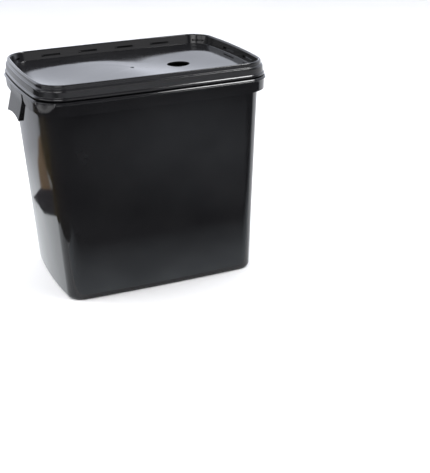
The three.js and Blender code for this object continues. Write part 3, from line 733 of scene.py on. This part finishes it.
def make_grids():
    divider, _ = grid_plate("divider_grid", False)
    finish_piece(divider, "satin_black_plastic", "pail", ["divider_grid"])
    support, bottom = grid_plate("support_grid", True)
    low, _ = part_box("support_grid")
    leg = rounded([(4.6 * MM, 0), (7.0 * MM, 0), (7.0 * MM, 3 * MM), (5.6 * MM, 5 * MM),
                   (5.8 * MM, bottom - low.z + 1 * MM)])
    legs = []
    for x, y in ((-138, -92), (-138, 92), (0, -92), (138, -92), (138, 92)):
        legs.append(loft([circle(x * MM, y * MM, r, low.z + z, 28) for r, z in leg]))
    combine(support, [gathered(legs)], "UNION")
    finish_piece(support, "satin_black_plastic", "pail", ["support_grid"])


def bio_ball_mesh(radius):
    """A finned bio ball: meridian fins and level discs on a core, cut to a sphere, with a notched edge."""
    thickness = 1.6 * MM
    ball = to_object("bio_ball", drum(radius * 0.22, radius * 1.8, (0, 0, 0), 20))
    discs = []
    for level in (-0.55, 0.0, 0.55):
        reach = radius * math.sqrt(1 - level ** 2) * 0.98
        discs.append(drum(reach, thickness, (0, 0, level * radius), 40))
    combine(ball, discs, "UNION")
    fin = (2 * radius, thickness, 1.94 * radius)
    combine(ball, [block(fin, (0, 0, 0), 0.0, math.pi * i / 6) for i in range(6)], "UNION")
    sphere = bmesh.new()
    bmesh.ops.create_uvsphere(sphere, u_segments=36, v_segments=20, radius=radius)
    combine(ball, [sphere], "INTERSECT")
    for level in (-0.28, 0.28):
        inner, outer = radius * 0.8, radius * 1.1
        low, high = level * radius - 1.5 * MM, level * radius + 1.5 * MM
        corners = [(inner, low), (outer, low), (outer, high), (inner, high)]
        combine(ball, [loft([circle(0, 0, r, z, 40) for r, z in corners], looped=True)], "DIFFERENCE")
    return ball


def make_bio_balls():
    low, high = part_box("bio_ball_01")
    master = bio_ball_mesh((high.z - low.z) / 2 - 0.3 * MM)
    turns = random.Random(7)
    nodes = sorted(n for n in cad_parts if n.startswith("bio_ball_"))
    for node in nodes:
        low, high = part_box(node)
        ball = bpy.data.objects.new(node + "_fine", master.data.copy())
        bpy.context.scene.collection.objects.link(ball)
        turn = Matrix.Rotation(turns.uniform(0, math.pi), 4, "Z")
        tilt = Matrix.Rotation(turns.uniform(-0.5, 0.5), 4, "X")
        ball.data.transform(Matrix.Translation((low + high) / 2) @ (turn @ tilt))
        finish_piece(ball, "bio_ball_plastic", "pail", [node])
    mesh = master.data
    bpy.data.objects.remove(master)
    bpy.data.meshes.remove(mesh)


# ---- Outlet -------------------------------------------------------------------------------------
def make_bulkhead():
    """The threaded wall fitting: a flange inside the pail and a pipe through its wall."""
    low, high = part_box("outlet_bulkhead")
    pipe, bore, flange = 22 * MM, 18.2 * MM, (high.x - low.x) / 2
    root = pipe - 0.9 * MM
    face = low.y + 5 * MM
    profile = [(bore, low.y), (flange, low.y), (flange, face), (root, face)]
    pitch = 1.8 * MM
    y = face + 3 * MM
    while y < high.y - 1.5 * MM:
        profile += [(root, y), (pipe, y + pitch * 0.35), (pipe, y + pitch * 0.5), (root, y + pitch * 0.85)]
        y += pitch
    profile += [(root, high.y), (bore, high.y)]
    bulkhead = to_object("outlet_bulkhead_fine", turned(profile, looped=True))
    finish_piece(bulkhead, "satin_black_plastic", "pail", ["outlet_bulkhead"])


def make_gaskets():
    outer = 31 * MM
    for node in ("outlet_gasket_inner", "outlet_gasket_outer"):
        low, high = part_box(node)
        corners = [(PORT, low.y), (outer, low.y), (outer, high.y), (PORT, high.y)]
        gasket = to_object(node + "_fine", turned(rounded(corners, looped=True), looped=True))
        finish_piece(gasket, "black_rubber", "pail", [node])


def make_lock_nut():
    """A hexagonal nut with chamfered corners."""
    low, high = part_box("outlet_lock_nut")
    radius = (high.z - low.z) / 2
    nut = to_object("outlet_lock_nut_fine", plug(radius, low.y, high.y, steps=6))
    top = high.y + 0.01 * MM
    chamfer = turned([(0, low.y - 1 * MM), (radius * 0.93, low.y - 1 * MM), (radius * 1.02, low.y + 1.6 * MM),
                      (radius * 1.02, high.y - 2.2 * MM), (radius * 0.9, top), (0, top)])
    combine(nut, [chamfer], "INTERSECT")
    combine(nut, [plug(PORT, low.y - 0.01, high.y + 0.01)], "DIFFERENCE")
    finish_piece(nut, "satin_black_plastic", "pail", ["outlet_lock_nut"])


def make_union_nut():
    """A round nut with grip ribs, whose lip holds the elbow's collar."""
    low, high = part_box("outlet_union_nut")
    outer, thread, neck = (high.x - low.x) / 2, 22.5 * MM, 20.1 * MM
    barrel = outer - 1.2 * MM
    lip = high.y - 2.6 * MM
    corners = [(thread, low.y), (barrel, low.y), (barrel, high.y - 1.2 * MM), (outer - 3 * MM, high.y),
               (neck, high.y), (neck, lip), (thread, lip)]
    smooth = rounded(corners, 0.5 * MM, 2, looped=True)
    nut = to_object("outlet_union_nut_fine", turned(smooth, looped=True, steps=96))
    count = 16
    middle = (low.y + high.y) / 2 - 0.6 * MM
    ribs = []
    for i in range(count):
        rib = block((3.0 * MM, (high.y - low.y) - 3.2 * MM, 3.6 * MM), (0, 0, 0), 0.7 * MM)
        ribs.append(around_outlet(rib, 2 * math.pi * i / count, middle, outer - 1.9 * MM))
    combine(nut, [gathered(ribs)], "UNION")
    finish_piece(nut, "satin_black_plastic", "pail", ["outlet_union_nut"])


def make_elbow():
    """The swivel elbow: spigot with a ring groove, collar, quarter bend and barbed hose tail."""
    low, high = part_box("outlet_elbow")
    spigot, collar, neck, bore, bend = 17.7 * MM, 22 * MM, 19.5 * MM, 15.5 * MM, 26 * MM
    start, straight = low.y, 163 * MM
    groove_start, groove_end, groove = 139.8 * MM, 143.2 * MM, spigot - 2 * MM
    collar_start, collar_end = 153.1 * MM, 157.1 * MM
    steps, sides = 14, 56
    arc = bend * math.pi / 2
    end = straight + arc + high.x - bend
    outside = [(start, spigot - 0.6 * MM), (start + 0.8 * MM, spigot),
               (groove_start, spigot), (groove_start, groove), (groove_end, groove), (groove_end, spigot),
               (collar_start, spigot), (collar_start, collar), (collar_end, collar), (collar_end, neck)]
    outside += [(straight + arc * i / steps, neck) for i in range(steps + 1)]
    tail = straight + arc + 42 * MM - bend
    for i in range(3):
        at = tail + i * 11 * MM
        outside += [(at, neck - 0.6 * MM), (at + 0.5 * MM, neck + 1.5 * MM), (at + 1.4 * MM, neck + 1.6 * MM),
                    (at + 10 * MM, neck - 0.8 * MM)]
    outside += [(end - 1 * MM, neck - 1.2 * MM), (end, neck - 2 * MM)]
    inside = [(end, bore + 0.6 * MM), (end - 1 * MM, bore)]
    inside += [(straight + arc * i / steps, bore) for i in reversed(range(steps + 1))] + [(start, bore)]
    rings = []
    for along, radius in outside + inside:
        turn = min(max((along - straight) / bend, 0), math.pi / 2)
        x = bend * (1 - math.cos(turn)) + max(0.0, along - straight - arc)
        y = min(along, straight) + bend * math.sin(turn)
        ring = []
        for i in range(sides):
            angle = -2 * math.pi * i / sides
            side, rise = radius * math.cos(angle), radius * math.sin(angle)
            ring.append(Vector((x + side * math.cos(turn), y - side * math.sin(turn), OUTLET.z + rise)))
        rings.append(ring)
    elbow = to_object("outlet_elbow_fine", loft(rings, looped=True))
    finish_piece(elbow, "satin_black_plastic", "elbow", ["outlet_elbow"])


def make_o_ring():
    low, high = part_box("elbow_o_ring")
    outer = (high.x - low.x) / 2
    half = (high.y - low.y) / 2
    middle = (low.y + high.y) / 2
    angles = (2 * math.pi * i / 16 for i in range(16))
    section = [(outer - half + half * math.cos(a), middle + half * math.sin(a)) for a in angles]
    ring = to_object("elbow_o_ring_fine", turned(section, looped=True))
    finish_piece(ring, "black_rubber", "elbow", ["elbow_o_ring"])


def make_strainer():
    """A slotted cap, closed at its tip, whose neck plugs into the bulkhead's bore."""
    low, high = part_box("outlet_strainer")
    radius = (high.x - low.x) / 2
    inner = radius - 2 * MM
    open_y, tip, neck = high.y - 12 * MM, low.y, 17.6 * MM
    profile = rounded([
        (0, tip), (radius - 1 * MM, tip), (radius, tip + 3 * MM), (radius, open_y), (neck, open_y),
        (neck, high.y), (neck - 2 * MM, high.y), (neck - 2 * MM, open_y - 2 * MM), (inner, open_y - 2 * MM),
        (inner, tip + 4 * MM), (inner - 2 * MM, tip + 2 * MM), (0, tip + 2 * MM)], 0.6 * MM, 2)
    strainer = to_object("outlet_strainer_fine", turned(profile))
    count = 20
    middle = (tip + open_y) / 2
    slots = []
    for i in range(count):
        slot = block((2.6 * MM, 27 * MM, 8 * MM), (0, 0, 0))
        slots.append(around_outlet(slot, 2 * math.pi * (i + 0.5) / count, middle, radius - 1 * MM))
    combine(strainer, [gathered(slots)], "DIFFERENCE")
    finish_piece(strainer, "satin_black_plastic", "pail", ["outlet_strainer"])


# ---- Stage and light ----------------------------------------------------------------------------
# The pail is glossy black, so what shows on it is its surroundings: a bright backdrop behind, a dark room at
# the left and in front, a pale table close round it, and softboxes. Only reflections see the cards.
BACKDROP = (1.25, 1.30, 1.44)
BACKDROP_SIDE = Vector((0.5, 0.85, 0.1))
LOW_GLOW = 1.55  # how much brighter the backdrop is near the horizon
DARK_ROOM = (0.035, 0.034, 0.04)
CARD_LIFT = 3 * MM
# Soft windows in the dark room: (compass angle, height angle), sharp and faded-out half width, radiance.
SOFT_WINDOWS = (
    ((163, 12), 5, 26, 0.8), ((-142, 22), 6, 23, 4.2), ((-80, 12), 8, 16, 1.9), ((-106, 12), 8, 16, 1.9),
)
# Softboxes: two light the table from left and right, and a small bright one only shows as a highlight.
TABLE_LIGHT = {"elevation": 60, "distance": 3, "size": (2.0, 2.0), "radiance": 6.4}
KEY_HIGHLIGHT = {"azimuth": 121.5, "elevation": 57, "distance": 2.4, "size": (0.9, 0.7), "radiance": 26}


def make_floor():
    bm = bmesh.new()
    bmesh.ops.create_grid(bm, x_segments=8, y_segments=8, size=6)
    floor = to_object("floor", bm)
    floor.data.materials.append(floor_finish())


def make_world():
    """The bright backdrop spreads from the back round to the right. The camera itself sees plain white."""
    world = bpy.data.worlds.new("studio")
    bpy.context.scene.world = world
    n = Nodes(world, "Background")
    direction = n.add("ShaderNodeTexCoord").outputs["Generated"]

    def vector(operation, first, second):
        return n.add("ShaderNodeVectorMath", {0: first, 1: second}, operation=operation)

    def fade(value, start, end, low, high):
        inputs = {"Value": value, "From Min": start, "From Max": end, "To Min": low, "To Max": high}
        return n.add("ShaderNodeMapRange", inputs, interpolation_type="SMOOTHSTEP").outputs["Result"]

    def mixed(share, first, second):
        return n.add("ShaderNodeMix", {0: share, 6: first, 7: second}, data_type="RGBA").outputs[2]

    def facing(place):
        return vector("DOT_PRODUCT", direction, place).outputs["Value"]

    lit = fade(facing(BACKDROP_SIDE.normalized()), 0.05, 0.62, 0.0, 1.0)
    total = mixed(lit, (*(4 * c for c in DARK_ROOM), 1), (*BACKDROP, 1))
    height = n.add("ShaderNodeSeparateXYZ", {0: direction}).outputs["Z"]
    total = vector("MULTIPLY", total, fade(height, 0.06, 0.22, LOW_GLOW, 1.0)).outputs["Vector"]
    for place, inner, outer, radiance in SOFT_WINDOWS:
        edge, core = (math.cos(math.radians(angle)) for angle in (outer, inner))
        glare = fade(facing(sky_place(*place, 1)), edge, core, 0.0, radiance)
        total = vector("ADD", total, glare).outputs["Vector"]
    from_camera = n.add("ShaderNodeLightPath").outputs["Is Camera Ray"]
    n.to_shader("Color", mixed(from_camera, total, (1, 1, 1, 1)))


def area_light(name, place, target, size, radiance, only_gloss=False):
    """A rectangular softbox of even radiance. It either lights surfaces or only shows as a highlight."""
    data = bpy.data.lights.new(name, "AREA")
    data.shape = "RECTANGLE"
    data.size, data.size_y = size
    data.energy = radiance * math.pi * size[0] * size[1]
    light = bpy.data.objects.new(name, data)
    bpy.context.scene.collection.objects.link(light)
    light.location = place
    light.rotation_euler = (Vector(target) - Vector(place)).to_track_quat("-Z", "Y").to_euler()
    light.visible_camera = False
    light.visible_diffuse = not only_gloss
    light.visible_glossy = only_gloss


def sky_place(azimuth, elevation, distance):
    """A place seen from the pail at a compass angle from +Y towards +X, and an angle above the floor."""
    a, e = math.radians(azimuth), math.radians(elevation)
    return Vector((math.sin(a) * math.cos(e), math.cos(a) * math.cos(e), math.sin(e))) * distance


def card(name, corners, material, lift=CARD_LIFT):
    """A flat shape just over the floor that only reflections see. Its corners are in metres."""
    bm = bmesh.new()
    bm.faces.new([bm.verts.new((x, y, lift)) for x, y in corners])
    bm.normal_update()
    thing = to_object(name, bm)
    thing.data.materials.append(material)
    thing.visible_camera = False
    thing.visible_diffuse = False
    thing.visible_transmission = False
    thing.visible_shadow = False


def glow(name, dark, light, shade):
    """A material that gives off its own light, between two colours. Shade is a node output from 0 to 1."""
    n = Nodes(bpy.data.materials.new(name))
    n.shader.inputs["Base Color"].default_value = (0, 0, 0, 1)
    n.shader.inputs["Specular IOR Level"].default_value = 0
    n.shader.inputs["Emission Strength"].default_value = 1
    n.to_shader("Emission Color", n.colours(shade(n), dark, light, 0, 1))
    return n.owner


def front_shade(n):
    """White near the pail, dark further off, with a dim light patch beyond."""
    split = n.add("ShaderNodeSeparateXYZ", {"Vector": n.place()})
    slanted = n.calculate("MULTIPLY_ADD", split.outputs["X"], -0.05, split.outputs["Y"])
    near = n.spread(slanted, 0.0, 1.0, start=-0.31, end=-0.115)
    patch = n.spread(n.distance((0.32, -0.68, 0)), 0.30, 0.0, start=0.08, end=0.38)
    cloudy = n.spread(n.noise(7, 2), 0.75, 1.15)
    return n.calculate("MULTIPLY", n.calculate("MAXIMUM", near, patch), cloudy)


def side_shade(n):
    """White near the pail's left side, greyer further off."""
    return n.spread(n.distance((-0.17, 0.1, 0)), 1.0, 0.0, start=0.2, end=0.64)


def brown_shade(n):
    """Brown near the pail, fading to the dark of the room, with uneven patches."""
    near = n.spread(n.distance((-0.5, 0.35, 0)), 1.0, 0.0, start=0.2, end=0.75)
    return n.calculate("MULTIPLY", near, n.spread(n.noise(4, 2), 0.5, 1.0))


def make_cards():
    """The table close round the pail, and the brown, dark and amber shapes that its left side reflects."""
    dark = glow("dark_room", DARK_ROOM, (0.06, 0.058, 0.06), lambda n: n.noise(3, 2))
    brown = glow("brown_floor", (0.016, 0.014, 0.012), (0.115, 0.08, 0.016), brown_shade)
    amber = glow("amber_board", (0.24, 0.16, 0.09), (0.40, 0.28, 0.17), lambda n: n.noise(9, 2))
    front = glow("front_table", (0.02, 0.02, 0.022), (1.25, 1.36, 1.46), front_shade)
    side = glow("side_table", (0.66, 0.68, 0.73), (1.12, 1.16, 1.2), side_shade)
    card("side_card", [(-3.0, -0.12), (-0.15, -0.12), (-0.15, 3.0), (-3.0, 6.0)], side, CARD_LIFT / 2)
    card("front_card", [(-0.34, -0.13), (-0.34, -1.6), (1.6, -1.6), (1.6, -0.13)], front)
    left = [(-0.51, 0.875), (-0.60, 1.0), (-1.0, 1.68), (-2.8, 5.0), (-2.6, -2.6), (-0.34, -2.6),
            (-0.34, -0.19), (-0.42, 0.05), (-0.30, 0.235), (-0.38, 0.40), (-0.385, 0.50), (-0.46, 0.74)]
    card("left_card", left, brown)
    board = [(-0.195, 0.405), (-0.245, 0.285), (-0.30, 0.235), (-0.42, 0.05), (-0.36, 0.37), (-0.28, 0.43)]
    card("dark_board", board, dark)
    strip = [(-0.28, 0.43), (-0.36, 0.37), (-0.385, 0.50), (-0.46, 0.74), (-0.43, 0.76), (-0.33, 0.60)]
    card("amber_card", strip, amber)


def make_lights():
    table, key = TABLE_LIGHT, KEY_HIGHLIGHT
    for name, azimuth, x in (("table_light_left", -60, -0.2), ("table_light_right", 120, 0.2)):
        place = sky_place(azimuth, table["elevation"], table["distance"])
        area_light(name, place, (x, 0, 0), table["size"], table["radiance"])
    place = sky_place(key["azimuth"], key["elevation"], key["distance"])
    area_light("key_highlight", place, (0, 0, 0.2), key["size"], key["radiance"], only_gloss=True)


make_camera()
make_pail()
make_lid()
make_lid_seal()
make_spray_tray()
make_foam("foam_coarse", cell=5 * MM, depth=0.9 * MM, seed=3)
make_foam("foam_medium", cell=3 * MM, depth=0.6 * MM, seed=5)
make_foam("foam_fine", cell=2 * MM, depth=0.4 * MM, seed=8)
make_grids()
make_bio_balls()
make_bulkhead()
make_gaskets()
make_lock_nut()
make_union_nut()
make_elbow()
make_o_ring()
make_strainer()
make_floor()
make_world()
make_cards()
make_lights()
bpy.context.scene.view_settings.view_transform = "Standard"
